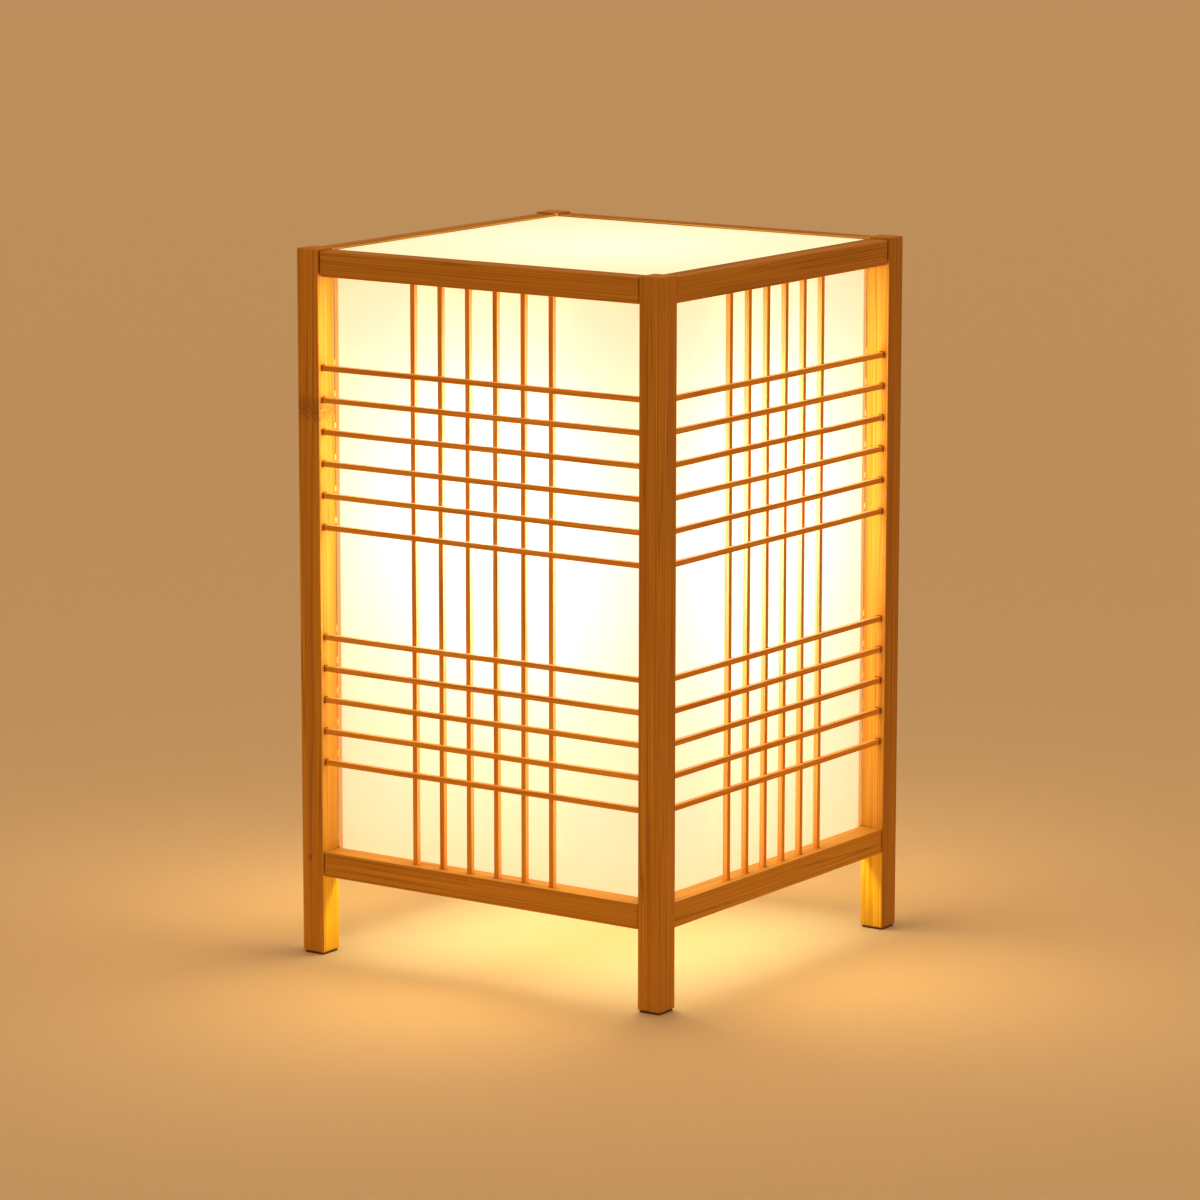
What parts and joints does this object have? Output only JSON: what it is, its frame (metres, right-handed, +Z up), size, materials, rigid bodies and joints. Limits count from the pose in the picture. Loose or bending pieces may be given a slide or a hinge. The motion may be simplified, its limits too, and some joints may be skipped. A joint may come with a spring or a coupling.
{
  "type": "bamboo table lamp",
  "caption": "Square bamboo table lamp with a strip lattice over lit paper panels, a white top panel, short legs and a screw-in bulb on a crossbar.",
  "frame": {"origin": "on the floor, under the middle of the lamp", "axes": "+Z up along the posts, -Y out of the front face, +X to the right"},
  "size_m": [0.2, 0.2, 0.329],
  "materials": {
    "bamboo": "carbonised laminated bamboo, satin lacquer",
    "bamboo_strip": "split bamboo strip, satin",
    "paper": "translucent parchment-like paper, matt",
    "opal_acrylic": "opal sheet, satin",
    "felt": "pressed felt",
    "zinc_steel": "zinc plated",
    "brass": "drawn brass",
    "black_phenolic": "moulded phenolic",
    "porcelain": "glazed white",
    "frosted_glass": "frosted inside"
  },
  "bodies": {
    "frame": {"post_front_left": "bamboo", "post_front_right": "bamboo", "post_rear_right": "bamboo", "post_rear_left": "bamboo", "top_rail_front": "bamboo", "top_rail_right": "bamboo", "top_rail_rear": "bamboo", "top_rail_left": "bamboo", "bottom_rail_front": "bamboo", "bottom_rail_right": "bamboo", "bottom_rail_rear": "bamboo", "bottom_rail_left": "bamboo", "lattice_front": "bamboo_strip", "lattice_right": "bamboo_strip", "lattice_rear": "bamboo_strip", "lattice_left": "bamboo_strip", "paper_batten_front_left": "bamboo_strip", "paper_batten_front_right": "bamboo_strip", "paper_batten_rear_right": "bamboo_strip", "paper_batten_rear_left": "bamboo_strip", "paper_panel_front": "paper", "paper_panel_right": "paper", "paper_panel_rear": "paper", "paper_panel_left": "paper", "foot_pad_front_left": "felt", "foot_pad_front_right": "felt", "foot_pad_rear_right": "felt", "foot_pad_rear_left": "felt", "crossbar": "bamboo", "threaded_rod": "zinc_steel", "washer": "zinc_steel", "lock_nut": "zinc_steel", "stem_tube": "brass", "holder_nut": "zinc_steel", "holder_base": "black_phenolic", "holder_insert": "porcelain", "holder_contact": "brass", "screw_sleeve": "brass", "holder_shell": "black_phenolic"},
    "bulb": {"bulb_globe": "frosted_glass", "bulb_cap": "zinc_steel", "bulb_insulator": "black_phenolic", "bulb_contact": "brass"},
    "top_panel": {"top_panel": "opal_acrylic"}
  },
  "joints": [
    {"name": "bulb_lift", "type": "slide", "parent": "frame", "child": "bulb", "axis": [0, 0, 1], "range_m": [0, 0.026]},
    {"name": "top_panel_lift", "type": "slide", "parent": "frame", "child": "top_panel", "axis": [0, 0, 1], "range_m": [0, 0.03]}
  ]
}
